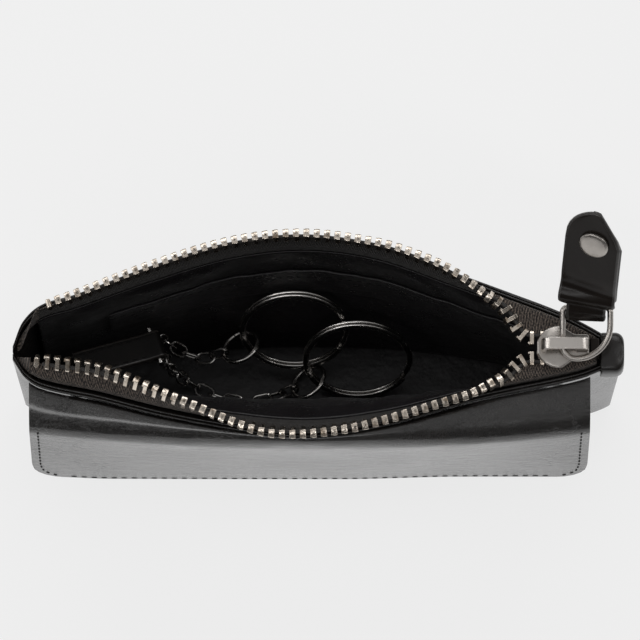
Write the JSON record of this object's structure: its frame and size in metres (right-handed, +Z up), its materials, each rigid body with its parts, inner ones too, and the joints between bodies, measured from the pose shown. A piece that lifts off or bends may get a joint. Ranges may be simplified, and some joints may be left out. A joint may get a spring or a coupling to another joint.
{
  "type": "zip key wallet with front flap",
  "caption": "Small black leather zip pouch with a buttoned front flap, a lined inside, a zip slider with a leather pull, and split key rings on short chains.",
  "frame": {"origin": "on the flat base, under the middle of the mouth, in the plane of the two end seams", "axes": "+X along the zip to the end where the slider rests, -Y to the flap, +Z up"},
  "size_m": [0.1503, 0.0532, 0.0991],
  "materials": {
    "leather": "smooth glossy black leather, fine creases",
    "satin_lining": "black satin weave",
    "zip_tape": "dark herringbone tape",
    "zip_metal": "warm antique nickel",
    "satin_nickel": "satin nickel",
    "dark_steel": "polished dark nickel plate"
  },
  "bodies": {
    "pouch": {"back_panel": "leather", "front_panel": "leather", "bottom_panel": "leather", "lining_back": "satin_lining", "lining_front": "satin_lining", "lining_floor": "satin_lining", "slip_pocket": "satin_lining", "flap_root": "leather", "pocket_front": "leather", "pocket_gusset_left": "leather", "pocket_gusset_right": "leather", "pocket_bottom": "leather", "snap_stud": "satin_nickel", "zip_tape_back": "zip_tape", "zip_tape_front": "zip_tape", "zip_chain_back": "zip_metal", "zip_chain_front": "zip_metal", "zip_top_stop_back": "zip_metal", "zip_top_stop_front": "zip_metal", "zip_bottom_stop": "zip_metal", "zip_end_tab": "leather", "key_strap": "leather"},
    "slider": {"slider_body": "satin_nickel", "slider_bridge": "satin_nickel"},
    "pull_ring": {"pull_ring": "satin_nickel"},
    "pull_tab": {"pull_tab": "leather", "rivet_cap": "satin_nickel", "rivet_base": "satin_nickel"},
    "flap": {"flap_outer": "leather", "flap_lining": "leather", "snap_socket": "satin_nickel"},
    "d_ring": {"d_ring": "dark_steel"},
    "chain_a": {"chain_a_link_1": "dark_steel", "chain_a_link_2": "dark_steel", "chain_a_link_3": "dark_steel", "chain_a_link_4": "dark_steel", "chain_a_link_5": "dark_steel", "chain_a_link_6": "dark_steel", "chain_a_link_7": "dark_steel", "chain_a_link_8": "dark_steel"},
    "chain_b": {"chain_b_link_1": "dark_steel", "chain_b_link_2": "dark_steel", "chain_b_link_3": "dark_steel", "chain_b_link_4": "dark_steel", "chain_b_link_5": "dark_steel", "chain_b_link_6": "dark_steel", "chain_b_link_7": "dark_steel", "chain_b_link_8": "dark_steel", "chain_b_link_9": "dark_steel", "chain_b_link_10": "dark_steel", "chain_b_link_11": "dark_steel", "chain_b_link_12": "dark_steel", "chain_b_link_13": "dark_steel", "chain_b_link_14": "dark_steel"},
    "jump_ring_a": {"jump_ring_a": "dark_steel"},
    "jump_ring_b": {"jump_ring_b": "dark_steel"},
    "key_ring_a": {"key_ring_a": "dark_steel"},
    "key_ring_b": {"key_ring_b": "dark_steel"}
  },
  "joints": [
    {"name": "slider_travel", "type": "slide", "parent": "pouch", "child": "slider", "axis": [-1, 0, 0], "range_m": [0, 0.118], "deforming": ["zip_tape_back", "zip_tape_front", "zip_chain_back", "zip_chain_front"]},
    {"name": "pull_ring_swing", "type": "hinge", "parent": "slider", "child": "pull_ring", "pos_m": [0.06, 0.0006, 0.06815], "axis": [0, -0.9511, -0.309], "range_deg": [0, 160]},
    {"name": "pull_tab_swing", "type": "hinge", "parent": "pull_ring", "child": "pull_tab", "pos_m": [0.06585, 0.00944, 0.07102], "axis": [-1, 0, 0], "range_deg": [-100, 50]},
    {"name": "flap_open", "type": "hinge", "parent": "pouch", "child": "flap", "pos_m": [0, -0.0223, 0.0565], "axis": [-1, 0, 0], "range_deg": [0, 165]},
    {"name": "d_ring_swing", "type": "hinge", "parent": "pouch", "child": "d_ring", "pos_m": [-0.0405, 0.0068, 0.0345], "axis": [0.3293, -0.9442, 0], "range_deg": [0, 85]},
    {"name": "chain_a_swing", "type": "hinge", "parent": "d_ring", "child": "chain_a", "pos_m": [-0.0398, 0.0087, 0.0287], "axis": [1, 0, 0], "range_deg": [0, 1]},
    {"name": "chain_b_swing", "type": "hinge", "parent": "d_ring", "child": "chain_b", "pos_m": [-0.0388, 0.0057, 0.0287], "axis": [0, -1, 0], "range_deg": [0, 5]},
    {"name": "jump_ring_a_swing", "type": "hinge", "parent": "chain_a", "child": "jump_ring_a", "pos_m": [-0.0237, 0.0088, 0.0149], "axis": [0, -0.848, 0.5299], "range_deg": [-5, 3]},
    {"name": "jump_ring_b_swing", "type": "hinge", "parent": "chain_b", "child": "jump_ring_b", "pos_m": [-0.0063, 0.001, 0.0067], "axis": [0, -1, 0], "range_deg": [0, 15]},
    {"name": "key_ring_a_turn", "type": "hinge", "parent": "jump_ring_a", "child": "key_ring_a", "pos_m": [-0.0058, 0.0132, 0.022], "axis": [0, -0.848, 0.5299], "continuous": true},
    {"name": "key_ring_b_turn", "type": "hinge", "parent": "jump_ring_b", "child": "key_ring_b", "pos_m": [0.01, 0.0068, 0.016], "axis": [0, -0.848, 0.5299], "continuous": true}
  ]
}
